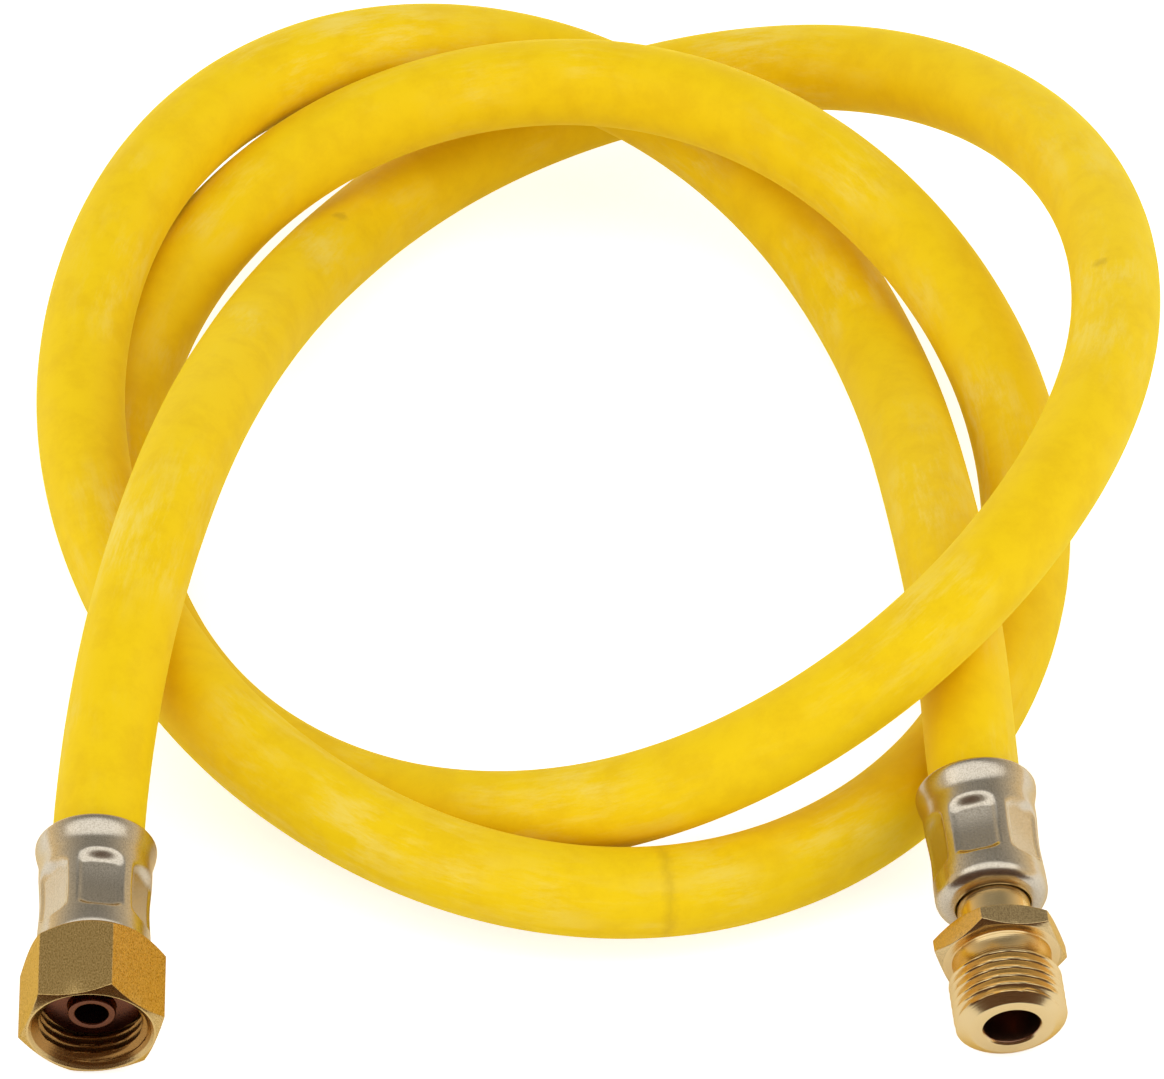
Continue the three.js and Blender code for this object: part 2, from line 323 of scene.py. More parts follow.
@dataclass(frozen=True)
class BarBrass(Finish):
    """Brass bar: hexagon faces left as drawn and grainy, turned faces with fine rings round the axis.

    The grain is dark in its pits, so a flat looks mottled and more olive than a turned face. Inside, near the axis,
    the colour is a brown painted for the shade in the bore and the thread.
    """

    base: str = "#e2c284"
    pit: str = "#b08f4e"
    # painted shade: a browner colour for the hollows of the bore and the thread
    inside: str = "#b3864c"
    rim: str = "#f2d590"  # brass stays golden where it is seen at a slant
    flat_mm: float = 12.0  # from the axis to a flat as drawn
    shade_inside_mm: float = 11.0  # radius within which a brown is painted for the shade inside
    fade_mm: float = 0.08
    shy_mm: float = 0.15  # how far inside the flats the drawn look starts
    pull: float = 0.55  # how much longer the grain is along the bar than round it, as 1 to this
    roughness: float = 0.26
    roughness_spread: tuple[float, float] = (-0.05, 0.1)
    grain_mm: float = 0.24
    grain_depth_mm: float = 0.011
    grain_strength: tuple[float, float] = (0.12, 0.85)  # on turned and on drawn faces
    ring_mm: float = 0.22
    ring_depth_mm: float = 0.005

    def dress(self, add: Adder) -> dict[str, Any]:
        """Adds the bar's grain and the cutter's rings.

        Args:
            add: Adds a node to the material's tree.

        Returns:
            What goes in the Principled shader's sockets.
        """
        place = add("Attribute", output="Vector", attribute_name=FITTING_ATTRIBUTE)
        pulled = add("Mapping", {"Vector": place, "Scale": (1.0, 1.0, self.pull)})
        grain = add(
            "TexNoise", {"Vector": pulled, "Scale": 1 / (self.grain_mm * MM), "Detail": 4.0, "Roughness": 0.6}
        )
        level = add("VectorMath", {0: place, 1: (1.0, 1.0, 0.0)}, operation="MULTIPLY")
        radius = add("VectorMath", {0: level}, "Value", operation="LENGTH")
        fade = self.fade_mm
        on_bar, outside = (
            add("MapRange", {"Value": radius, "From Min": (edge - fade) * MM, "From Max": (edge + fade) * MM})
            for edge in (self.flat_mm - self.shy_mm, self.shade_inside_mm)
        )
        turned, faced = (
            add(
                "TexWave",
                {"Vector": place, "Scale": 1 / (self.ring_mm * MM) / 6.28, "Distortion": 1.5, "Detail": 2.0},
                wave_type=kind,
                bands_direction="Z",
                rings_direction="Z",
            )
            for kind in ("BANDS", "RINGS")
        )
        rings = add("Math", {0: turned, 1: faced}, operation="ADD")
        pits = add(
            "MapRange",
            {"Value": grain, "From Min": 0.3, "From Max": 0.66, "To Min": 1.0, "To Max": 0.0},
            interpolation_type="SMOOTHSTEP",
        )
        mottle = add("Math", {0: pits, 1: on_bar}, operation="MULTIPLY")
        # near the axis the colour is painted shade; further out the brass's own colour lies over it
        colour: Any = linear(self.inside)
        for share, layer in ((outside, self.base), (mottle, self.pit)):
            colour = add("Mix", {"Factor": share, 6: colour, 7: linear(layer)}, 2, data_type="RGBA")
        cut = add("Bump", {"Height": rings, "Strength": 0.6, "Distance": self.ring_depth_mm * MM})
        turned_grain, drawn_grain = self.grain_strength
        coarse = add("MapRange", {"Value": on_bar, "To Min": turned_grain, "To Max": drawn_grain})
        pitted = {"Height": grain, "Strength": coarse, "Distance": self.grain_depth_mm * MM, "Normal": cut}
        smooth, rough = (self.roughness + spread for spread in self.roughness_spread)
        return {
            "Base Color": colour,
            "Roughness": add("MapRange", {"Value": grain, "To Min": smooth, "To Max": rough}),
            "Normal": add("Bump", pitted),
            "Metallic": 1.0,
            "Specular Tint": linear(self.rim),
        }


RUBBER = CuredRubber("Cured rubber, yellow", "hose_rubber")
STEEL = PressedSteel("Plated steel, pressed", "ferrule_steel")
NUT_BRASS = BarBrass("Brass hexagon bar, drawn", "nut_brass")
# painted shade: the tail's whole colour is a dark red-brown for the shade it lies in inside the nut
TAIL_BRASS = BarBrass("Brass, turned, painted dark for its shade", "tail_brass", base="#7c5040", flat_mm=30.0, shade_inside_mm=0.0)
FITTING_BRASS = BarBrass(
    "Brass hexagon bar, turned",
    "fitting_brass",
    base="#e8ce9a",
    pit="#bca274",
    # painted shade in the bore
    inside="#bc967c",
    flat_mm=11.0,
    shade_inside_mm=5.25,
    roughness=0.2,
    grain_mm=0.17,
    grain_depth_mm=0.005,
)


@dataclass(frozen=True)
class Route:
    """The hose's centre line: guide points in millimetres, from the nut's end to the male end."""

    points: tuple[tuple[float, float, float], ...] = (
        (-82.5, -8.5, 17.7), (-82.5, 2, 20.4), (-82.5, 23, 25.8), (-77.5, 62, 40), (-67, 109, 46.5),
        (-56, 167, 28.5), (-44, 211, 14.5), (-19, 249, 12), (23, 268, 18.5), (70, 257, 30.5),
        (105, 210, 42.5), (113, 131, 56.5), (92, 66, 55.8), (55, 30, 40.2), (12, 23, 21), (-33, 38, 10),
        (-70, 77, 7.6), (-87, 140, 11), (-75, 196, 22.5), (-39, 232, 35.5), (13, 239, 42), (60, 214, 37),
        (91, 160, 24.5), (94, 96, 15.5), (73, 41, 13), (35, 11, 12.5), (-8, 8, 16), (-46, 29, 21.5),
        (-76, 73, 23), (-94, 140, 28), (-82, 208, 39), (-45, 248, 41.5), (4, 256, 33.5), (45, 233, 17),
        (67, 180, 11.5), (73, 107, 33), (78, 60, 34.5), (79, 35, 26.4), (81.3, 15, 20.6), (82.5, 4.5, 17.6),
    )
    degree: int = 3

    def spline(self) -> Object:
        """Returns a curve object in metres, one open spline that the guide points pull into shape."""
        data = bpy.data.curves.new("hose_route", "CURVE")
        data.dimensions = "3D"
        line = data.splines.new("NURBS")
        line.points.add(len(self.points) - 1)
        for point, place in zip(line.points, self.points):
            point.co = (*(Vector(place) * MM), 1.0)
        line.order_u = self.degree + 1
        line.use_endpoint_u = True
        line.resolution_u = 40
        return put("hose_route", data)

    def end(self, which: HoseEnd) -> tuple[np.ndarray, np.ndarray]:
        """Finds a fitting's frame on one end of the hose.

        Args:
            which: The end of the hose.

        Returns:
            The end's place in millimetres, and a matrix whose columns point right, up and outwards.
        """
        order = self.points if which is HoseEnd.NUT else self.points[::-1]
        here, inner = np.array(order[0], float), np.array(order[1], float)
        outward = (here - inner) / np.linalg.norm(here - inner)
        right = np.cross((0.0, 0.0, 1.0), outward)
        right /= np.linalg.norm(right)
        return here, np.column_stack((right, np.cross(outward, right), outward))


ROUTE = Route()


def link_mesh(name: str, mesh: Mesh, finish: Finish, body: Body, node: str) -> Object:
    """Puts a finished mesh in the scene in place of a CAD node.

    Args:
        name: The piece's name.
        mesh: Its mesh, in metres in the row's frame.
        finish: What it is made of.
        body: The body that it rides on.
        node: The CAD node that it stands for.

    Returns:
        The piece's object.
    """
    made = put(name, mesh)
    mesh.materials.clear()
    mesh.materials.append(finish.material())
    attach(made, body.value)
    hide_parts(node)
    return made


def rounded(outline: Sequence[tuple[float, float]], radii: Sequence[float], steps: int = 4) -> np.ndarray:
    """Rounds the corners of a closed outline, and keeps a point close behind each round.

    Args:
        outline: Corners as radius and height, in millimetres.
        radii: How far each corner's round starts from it. 0 keeps the corner as it is.
        steps: Faces on each round.

    Returns:
        The new outline, one row for each point.
    """
    corners = np.array(outline, float)
    points: list[np.ndarray] = []
    for k, corner in enumerate(corners):
        if radii[k] == 0:
            points.append(corner)
            continue
        before, after = corners[k - 1] - corner, corners[(k + 1) % len(corners)] - corner
        reach_in, reach_out = np.linalg.norm(before), np.linalg.norm(after)
        start = corner + before / reach_in * min(radii[k], reach_in * ROUND_REACH)
        stop = corner + after / reach_out * min(radii[k], reach_out * ROUND_REACH)
        points.append(start + (start - corner) * ROUND_HOLD)
        for t in np.linspace(0, 1, steps + 1):
            points.append((1 - t) ** 2 * start + 2 * t * (1 - t) * corner + t**2 * stop)
        points.append(stop + (stop - corner) * ROUND_HOLD)
    return np.array(points)


def soft_least(first: np.ndarray, second: np.ndarray, softness: float) -> np.ndarray:
    """Takes the lesser of two surfaces and rounds the edge where they cross.

    Args:
        first: One surface's radii.
        second: The other's radii.
        softness: The edge's rounding, in millimetres.

    Returns:
        The combined radii.
    """
    return -softness * np.logaddexp(-np.asarray(first) / softness, -np.asarray(second) / softness)


def revolve(
    name: str,
    end: HoseEnd,
    turn: float,
    angles: Sequence[float],
    outline: Callable[[float], np.ndarray],
    sharp: float = 42.0,
) -> Mesh:
    """Turns an outline round a fitting's axis. The outline may change with the angle.

    Args:
        name: The mesh's name.
        end: The end of the hose that the fitting stands on.
        turn: Degrees that the piece is turned to the right.
        angles: Degrees from the top of the fitting to the right, once round.
        outline: Gives the closed outline's radii and heights at an angle.
        sharp: Degrees between faces past which an edge stays crisp.

    Returns:
        A closed mesh in metres, with each point's place in the fitting's own frame as an attribute.
    """
    radii, heights = np.moveaxis(np.array([outline(angle) for angle in angles]), 2, 0)
    count, rows = radii.shape
    way = np.radians(angles)[:, None]
    local = np.stack((radii * np.sin(way), radii * np.cos(way), heights), axis=2).reshape(-1, 3)
    across, up = math.sin(math.radians(turn)), math.cos(math.radians(turn))
    turned = local @ ((up, -across, 0), (across, up, 0), (0, 0, 1))
    origin, axes = ROUTE.end(end)
    places = (origin + turned @ axes.T) * MM
    faces = [
        (k * rows + i, k * rows + (i + 1) % rows, (k + 1) % count * rows + (i + 1) % rows, (k + 1) % count * rows + i)
        for k in range(count)
        for i in range(rows)
    ]
    mesh = bpy.data.meshes.new(name)
    mesh.from_pydata(places.tolist(), [], faces)
    stored = mesh.attributes.new(FITTING_ATTRIBUTE, "FLOAT_VECTOR", "POINT")
    stored.data.foreach_set("vector", (local * MM).ravel())
    work = bmesh.new()
    work.from_mesh(mesh)
    if work.calc_volume(signed=True) < 0:
        bmesh.ops.reverse_faces(work, faces=work.faces)
    work.to_mesh(mesh)
    work.free()
    mesh.shade_smooth()
    mesh.set_sharp_from_angle(angle=math.radians(sharp))
    return mesh


@dataclass(frozen=True)
class PipeThread:
    """Parallel pipe thread of half-inch size: right-handed, with rounded crests and roots."""

    major: float = 20.955
    depth: float = 1.162
    pitch: float = 1.814
    rows_a_turn: int = 14
    flat_share: float = 0.18  # share of a flank's rise that the crest's and the root's flats take
    crest_ease: float = 0.6  # how much of the crest is rounded
    run: float = 0.35  # share of a pitch over which the thread rises or sinks at its ends

    @property
    def top(self) -> float:
        """Radius over the crests of the male thread."""
        return self.major / 2

    @property
    def root(self) -> float:
        """Radius at the roots of the male thread."""
        return self.top - self.depth

    def heights(self, start: float, stop: float) -> np.ndarray:
        """Gives the heights at which a threaded wall is sampled.

        Args:
            start: First height.
            stop: Last height.

        Returns:
            Heights, evenly spaced.
        """
        rows = max(2, round((stop - start) / self.pitch * self.rows_a_turn))
        return np.linspace(start, stop, rows)

    def radii(self, heights: np.ndarray, angle: float, side: ThreadSide, run_in: float, run_out: float) -> np.ndarray:
        """Gives a threaded wall's radii along one line.

        Args:
            heights: Where the line is sampled.
            angle: Degrees round the axis, to the right.
            side: Whether the thread is male or female.
            run_in: Height where the thread starts to rise.
            run_out: Height where it has sunk again.

        Returns:
            The radii, one for each height.
        """
        phase = (heights / self.pitch - angle / 360) % 1
        ramp = 1 - np.abs(2 * phase - 1)
        flank = np.clip(ramp * (1 + 2 * self.flat_share) - self.flat_share, 0, 1)
        crest = eased(flank) * self.crest_ease + flank * (1 - self.crest_ease)
        run = self.pitch * self.run
        fade = np.clip((heights - run_in) / run, 0, 1) * np.clip((run_out - heights) / run, 0, 1)
        blank = self.root if side is ThreadSide.OUTSIDE else self.top
        return blank + side.value * self.depth * crest * fade


@dataclass(frozen=True)
class HexBar:
    """A hexagon cut on a turned blank: its flats, its rounded corners and its chamfers."""

    flat: float
    edge: float = 0.05
    least_cut: float = 0.04  # a chamfer is at least this deep

    @staticmethod
    def angles() -> list[float]:
        """Returns angles once round, close together at the six corners."""
        near = [0.0, 0.25, 0.6, 1.1, 1.8, 3.0]
        steps = [-30 + n for n in near] + list(np.arange(-25, 26, 5.0)) + [30 - n for n in near[:0:-1]]
        return [60 * k + step for k in range(6) for step in steps]

    def face(self, angle: float) -> float:
        """Gives a flat's distance from the axis at an angle, with its corners rounded.

        Args:
            angle: Degrees round the axis from the middle of a flat.

        Returns:
            The distance in millimetres.
        """
        off = (angle + 30) % 60 - 30
        here = self.flat / math.cos(math.radians(off))
        other = self.flat / math.cos(math.radians(60 - abs(off)))
        return float(soft_least(here, other, self.edge))

    def band(
        self, angle: float, rear: tuple[float, float], rear_slope: float, front: tuple[float, float], front_slope: float
    ) -> np.ndarray:
        """Gives the outside of a chamfered hexagon along one line, from rear to front.

        Args:
            angle: Degrees round the axis from the middle of a flat.
            rear: Radius and height where the rear chamfer starts.
            rear_slope: Degrees of the rear chamfer from the axis.
            front: Radius and height where the front chamfer ends.
            front_slope: Degrees of the front chamfer from the axis.

        Returns:
            Rows of radius and height.
        """
        flat = self.face(angle)
        rise, fall = 1 / math.tan(math.radians(rear_slope)), 1 / math.tan(math.radians(front_slope))
        rear_cross = rear[1] + max(flat - rear[0], self.least_cut) * rise
        front_cross = front[1] - max(flat - front[0], self.least_cut) * fall
        near = np.array([-0.6, -0.25, -0.1, 0.0, 0.1, 0.25, 0.6])  # close rows where a chamfer meets the flat
        heights = np.concatenate(
            (
                rear[1] + (rear_cross - 0.7 * min(1, rear_cross - rear[1]) - rear[1]) * np.array([0.0, 0.5]),
                rear_cross + near * min(1.0, (rear_cross - rear[1])),
                rear_cross + (front_cross - rear_cross) * np.array([0.3, 0.5, 0.7]),
                front_cross + near * min(1.0, (front[1] - front_cross)),
                [front[1]],
            )
        )
        heights = np.maximum.accumulate(np.clip(heights, rear[1], front[1]))
        cone = np.minimum(rear[0] + (heights - rear[1]) / rise, front[0] + (front[1] - heights) / fall)
        return np.column_stack((soft_least(np.full_like(cone, flat), cone, self.edge), heights))


@dataclass(frozen=True)
class BarbedStem:
    """The stem that a fitting has inside the hose, with barbs that hold the rubber."""

    length: float = 19.0
    barbs: int = 4
    barb_radius: float = 4.7
    radius: float = 4.2
    bore: float = 3.05
    slope_share: float = 0.8
    neck: float = 6.8
    neck_from: float = 0.3

    def outline(self) -> list[tuple[float, float]]:
        """Returns the stem's outside, from its tip to the neck at the hose's end."""
        step = self.length / (self.barbs + 1)
        points = [(self.bore, -self.length), (self.radius, -self.length)]
        for k in range(self.barbs):
            points.append((self.barb_radius, -self.length + (k + self.slope_share) * step))
            points.append((self.radius, -self.length + (k + 1) * step))
        return points + [(self.radius, self.neck_from), (self.neck, self.neck_from)]


@dataclass
class RubberHose:
    """The hose: one tube along the route, closed inside both ferrules."""

    diameter: float = 17.0
    sides: int = 48
    rings: int = 1300
    waviness: float = 0.06
    swells_a_metre: float = 45.0
    seed: int = 7
    route: Route = field(default_factory=Route)

    def wall_tree(self, values: Mapping[str, tuple[str, Any]]) -> NodeTree:
        """Adds a tree that sweeps the wall along a curve and stores each point's place on it.

        Args:
            values: The kind and the value of each input by its name.

        Returns:
            The tree.
        """
        tree = bpy.data.node_groups.new("hose_wall", "GeometryNodeTree")
        tree.interface.new_socket(name="Route", in_out="INPUT", socket_type="NodeSocketGeometry")
        for name, (kind, _) in values.items():
            tree.interface.new_socket(name=name, in_out="INPUT", socket_type=f"NodeSocket{kind}")
        tree.interface.new_socket(name="Hose", in_out="OUTPUT", socket_type="NodeSocketGeometry")
        add = partial(add_node, tree)
        store = "GeometryNodeStoreNamedAttribute"
        recall = "GeometryNodeInputNamedAttribute"
        given = add("NodeGroupInput").node.outputs
        ring = add("GeometryNodeCurvePrimitiveCircle", {"Radius": given["Radius"], "Resolution": given["Sides"]})
        position = add("GeometryNodeInputPosition")
        round_wall = add(store, {"Geometry": ring, "Name": "on_ring", "Value": position}, data_type="FLOAT_VECTOR")
        line = add("GeometryNodeResampleCurve", {"Curve": given["Route"], "Count": given["Rings"]})
        length = add("GeometryNodeSplineParameter", output="Length")
        line = add(store, {"Geometry": line, "Name": "along", "Value": length}, data_type="FLOAT")
        tube = add("GeometryNodeCurveToMesh", {"Curve": line, "Profile Curve": round_wall, "Fill Caps": True})
        along = add(recall, {"Name": "along"}, data_type="FLOAT")
        across = add("SeparateXYZ", {0: add(recall, {"Name": "on_ring"}, data_type="FLOAT_VECTOR")}).node.outputs
        place = add("CombineXYZ", {0: along, 1: across[0], 2: across[1]})
        wall = add(store, {"Geometry": tube, "Name": WALL_ATTRIBUTE, "Value": place}, data_type="FLOAT_VECTOR")
        swell = add(
            "TexNoise",
            {"Vector": place, "W": given["Seed"], "Scale": self.swells_a_metre, "Detail": 2.0},
            noise_dimensions="4D",
        )
        centred = add("Math", {0: swell, 1: 0.5}, operation="SUBTRACT")
        reach = add("Math", {0: centred, 1: given["Waviness"]}, operation="MULTIPLY")
        offset = add("VectorMath", {0: add("GeometryNodeInputNormal"), "Scale": reach}, operation="SCALE")
        worn = add("GeometryNodeSetPosition", {"Geometry": wall, "Offset": offset})
        smooth = add("GeometryNodeSetShadeSmooth", {0: worn})
        real = add("GeometryNodeRealizeInstances", {0: smooth})
        dressed = add("GeometryNodeSetMaterial", {"Geometry": real, "Material": given["Rubber"]})
        add("NodeGroupOutput", {"Hose": dressed})
        return tree

    def centre_line(self, steps: int = 800) -> list[tuple[float, float, float]]:
        """Works out points along the route.

        Args:
            steps: How many stretches lie between them.

        Returns:
            The points, in metres and close together.
        """
        n, degree = len(self.route.points), self.route.degree
        knots = np.concatenate((np.zeros(degree), np.linspace(0, 1, n - degree + 1), np.ones(degree)))
        guides = np.array(self.route.points, float)
        line = []
        for t in np.linspace(0, 1, steps + 1):
            span = min(np.searchsorted(knots, t, side="right") - 1, n - 1)
            local = [guides[span - degree + k] for k in range(degree + 1)]
            for level in range(1, degree + 1):
                for k in range(degree, level - 1, -1):
                    low, high = knots[span - degree + k], knots[span + 1 + k - level]
                    share = (t - low) / (high - low)
                    local[k] = (1 - share) * local[k - 1] + share * local[k]
            line.append(tuple(float(v) for v in local[degree] * MM))
        return line

    def build(self) -> Object:
        """Builds the hose and returns it."""
        values = {
            "Radius": ("Float", self.diameter / 2 * MM),
            "Sides": ("Int", self.sides),
            "Rings": ("Int", self.rings),
            "Waviness": ("Float", 2 * self.waviness * MM),
            "Seed": ("Int", self.seed),
            "Rubber": ("Material", RUBBER.material()),
        }
        source = self.route.spline()
        modifier = source.modifiers.new("hose_wall", "NODES")
        modifier.node_group = self.wall_tree(values)
        for item in modifier.node_group.interface.items_tree:
            if item.name in values:
                modifier[item.identifier] = values[item.name][1]
        bpy.context.view_layer.update()
        evaluated = source.evaluated_get(bpy.context.evaluated_depsgraph_get())
        mesh = bpy.data.meshes.new_from_object(evaluated)
        mesh.name = "rubber_hose"
        bpy.data.objects.remove(source)
        work = bmesh.new()
        work.from_mesh(mesh)
        bmesh.ops.remove_doubles(work, verts=work.verts, dist=MM / 1000)
        bmesh.ops.recalc_face_normals(work, faces=work.faces)
        work.to_mesh(mesh)
        work.free()
        return link_mesh("rubber_hose", mesh, RUBBER, Body.ASSEMBLY, "hose")

    def declare(self, hose: Object, at_far_end: Sequence[Object]) -> None:
        """Measures the hose's length along the route and logs it.

        Args:
            hose: The built hose.
            at_far_end: The pieces on its male end. Not used.
        """
        line = self.centre_line()
        length = sum(math.dist(a, b) for a, b in zip(line, line[1:]))
        log.info("%s: %.3f m long", hose.name, length)


@dataclass
class Ferrule:
    """A pressed steel sleeve: a flared lip, six pressed dimples and a front curled in to the neck."""

    end: HoseEnd
    turn: float
    back: float = 0.0  # how much further it grips the hose than the nut's ferrule does
    length: float = 26.4
    grip: float = 21.8
    wall: float = 0.8
    sleeve: float = 10.5
    press_floor: float = 9.3
    press_half_width: float = 3.5
    press_wall: float = 0.15  # rise of a dimple's side for each degree round the axis
    press_edge: float = 0.03
    press_blend: float = 0.02  # rounding between a dimple's slopes and its floor, as a share of its depth
    press_from_lip: float = 10.0
    press_length: float = 9.3
    press_dome: float = 1.3  # how much shorter a dimple is at its sides
    rear_slope: float = 2.7
    front_slope: float = 1.3
    waist: float = 0.34
    waist_reach: float = 3.2  # how far past the dimples the waist goes
    lip_flare: float = 0.75
    lip_length: float = 5.2
    lip_round: float = 0.8
    neck_hole: float = 7.1
    neck_break: float = 0.06
    mouth_rim: float = 0.5
    mouth_break: float = 0.5
    hose_clearance: float = 0.12  # keeps the sleeve off the rubber, where the real one bites
    hose_radius: float = 8.5
    columns: int = 216

    def sink(self, angle: float, heights: np.ndarray) -> np.ndarray:
        """Gives how far the press pushed the wall in.

        Args:
            angle: Degrees round the axis from the middle of a dimple.
            heights: Places along the sleeve, from its front at the hose's end.

        Returns:
            Depths in millimetres.
        """
        off = abs((angle + 30) % 60 - 30)
        edge = math.degrees(math.atan(self.press_half_width / self.press_floor))
        floor = self.press_floor / math.cos(math.radians(off))
        side = self.press_floor / math.cos(math.radians(edge)) + (off - edge) * self.press_wall
        dimple = -soft_least(-floor, -side, self.press_edge)
        across = float(soft_least(dimple, self.sleeve, self.press_edge))
        shorter = self.press_dome * min(1.0, off / edge) ** 4 * 0.5
        start = self.press_from_lip - self.grip + shorter
        stop = self.press_from_lip - self.grip + self.press_length - shorter
        reach = soft_least(
            (heights - start + self.rear_slope) / self.rear_slope,
            (stop + self.front_slope - heights) / self.front_slope,
            self.press_blend,
        )
        reach = np.clip(reach, 0, 1)
        middle = (start + stop) / 2
        spread = np.clip(1 - np.abs(heights - middle) / (self.press_length / 2 + self.waist_reach), 0, 1)
        return (self.sleeve - across) * eased(reach) + self.waist * eased(spread)

    def lip(self, rear: float) -> np.ndarray:
        """Gives the flared lip's outside, from its rim to where the sleeve is straight.

        Args:
            rear: The rim's height.

        Returns:
            Rows of radius and height.
        """
        top = self.sleeve + self.lip_flare
        roll = np.radians(np.linspace(-90, 0, 9))
        rim = np.column_stack((np.cos(roll) - 1, np.sin(roll) + 1)) * self.lip_round + (top, rear)
        share = np.linspace(0, 1, 15)[1:-1]
        climb = rear + self.lip_round + (self.lip_length - self.lip_round) * share
        return np.vstack((rim, np.column_stack((top - self.lip_flare * eased(share), climb))))

    def outline(self, angle: float) -> np.ndarray:
        """Gives the sleeve's section at an angle.

        Args:
            angle: Degrees round the axis from the middle of a dimple.

        Returns:
            Rows of radius and height, closed.
        """
        rear, front = -self.grip, self.length - self.grip
        curl = self.sleeve - self.neck_hole - self.mouth_rim
        arc = np.radians(np.linspace(0, 90, 12))
        round_corner = np.column_stack((np.cos(arc), np.sin(arc)))
        centre = (self.sleeve - curl, front - curl)
        body = np.linspace(rear + self.lip_length, front - curl, 84)
        shank = np.column_stack((self.sleeve - self.sink(angle, body), body))
        curled = (round_corner * curl + centre)[1:]
        curled_in = (round_corner * (curl - self.wall) + centre)[::-1]
        back = body[::-3]
        mouth = self.hose_radius + self.hose_clearance
        inside = np.column_stack((np.maximum(self.sleeve - self.sink(angle, back) - self.wall, mouth), back))
        section = np.vstack(
            (
                self.lip(rear),
                shank,
                curled,
                [(self.neck_hole + self.neck_break, front), (self.neck_hole, front - self.neck_break)],
                [(self.neck_hole, front - self.wall)],
                curled_in[1:],
                inside,
                [(mouth, rear + self.mouth_break), (mouth + self.mouth_break, rear)],
            )
        )
        section[:, 1] -= self.back
        return section

    def build(self) -> Object:
        """Builds the ferrule and returns it."""
        node = f"ferrule_{self.end.value}_end"
        name = f"pressed_{node}"
        mesh = revolve(name, self.end, self.turn, evenly(self.columns), self.outline, sharp=60)
        return link_mesh(name, mesh, STEEL, Body.ASSEMBLY, node)


@dataclass
class NutTail:
    """The turned tail that carries the nut: stem, neck, collar and nose."""

    stem: BarbedStem = field(default_factory=BarbedStem)
    collar_radius: float = 9.0155
    collar_back: float = 11.0
    collar_front: float = 14.0
    nose_wall: float = 1.35
    nose_length: float = 2.2
    rounds: tuple[float, ...] = (0.3, 0.4, 0.25, 0.3, 0.35)  # of the collar's and the nose's corners
    columns: int = 96

    def build(self) -> Object:
        """Builds the tail and returns it."""
        nose = self.collar_front + self.nose_length
        outside = self.stem.bore + self.nose_wall
        corners = self.stem.outline() + [
            (self.stem.neck, self.collar_back),
            (self.collar_radius, self.collar_back),
            (self.collar_radius, self.collar_front),
            (outside, self.collar_front),
            (outside, nose),
            (self.stem.bore, nose),
        ]
        section = rounded(corners, [0.0] * (len(corners) - len(self.rounds)) + list(self.rounds))
        mesh = revolve("turned_tail", HoseEnd.NUT, 0, evenly(self.columns), lambda angle: section)
        return link_mesh("turned_tail", mesh, TAIL_BRASS, Body.ASSEMBLY, "nut_end_tail")


@dataclass
class SwivelNut:
    """The hexagonal nut that turns on the tail, with its thread, skirt and chamfers."""

    thread: PipeThread = field(default_factory=PipeThread)
    turn: float = -13.0
    wall: float = 1.52
    rear: float = 3.0
    length: float = 17.3
    sleeve: float = 10.5
    skirt: float = 0.7
    rear_chamfer: float = 49.0
    front_chamfer: float = 60.0
    face_step: float = 0.2  # how far inside the flats the front face starts
    face_width: float = 0.22
    mouth_break: tuple[tuple[float, float], ...] = ((0.1, 0.0), (0.03, 0.01))  # outwards and back
    thread_length: float = 5.6
    relief: float = 9.4155
    relief_fillet: float = 0.3
    shoulder_rise: float = 0.05
    shoulder: float = 10.7
    neck_hole: float = 7.1
    ferrule_front: float = 4.9
    curl: float = 2.9

    def outline(self, angle: float) -> np.ndarray:
        """Gives the nut's section at an angle.

        Args:
            angle: Degrees round the axis from the middle of a flat.

        Returns:
            Rows of radius and height, closed.
        """
        flat = self.thread.top + self.wall
        front = self.rear + self.length
        skirt, rim = self.sleeve + self.skirt, flat - self.face_step
        outside = HexBar(flat).band(angle, (skirt, self.rear), self.rear_chamfer, (rim, front), self.front_chamfer)
        mouth = rim - self.face_width
        start = front - self.thread_length - (mouth - self.thread.root)
        heights = self.thread.heights(start, front)[::-1]
        walls = self.thread.radii(heights, angle, ThreadSide.INSIDE, start, front + self.thread.pitch)
        cone = mouth - (front - heights)
        threaded = np.column_stack((np.maximum(walls, cone), heights))
        return np.vstack(
            (
                outside,
                [(mouth + out, front - back) for out, back in self.mouth_break],
                threaded[1:],
                [
                    (self.relief, start - self.relief_fillet),
                    (self.relief, self.shoulder + self.shoulder_rise),
                    (self.relief - self.relief_fillet, self.shoulder),
                    (self.neck_hole, self.shoulder),
                    (self.neck_hole, self.ferrule_front),
                    (self.sleeve - self.curl / 3, self.ferrule_front),
                    (self.sleeve, self.rear),
                ],
            )
        )

    def build(self) -> Object:
        """Builds the nut and returns it."""
        mesh = revolve("hexagon_nut", HoseEnd.NUT, self.turn, HexBar.angles(), self.outline, sharp=38)
        return link_mesh("hexagon_nut", mesh, NUT_BRASS, Body.NUT, "swivel_nut")


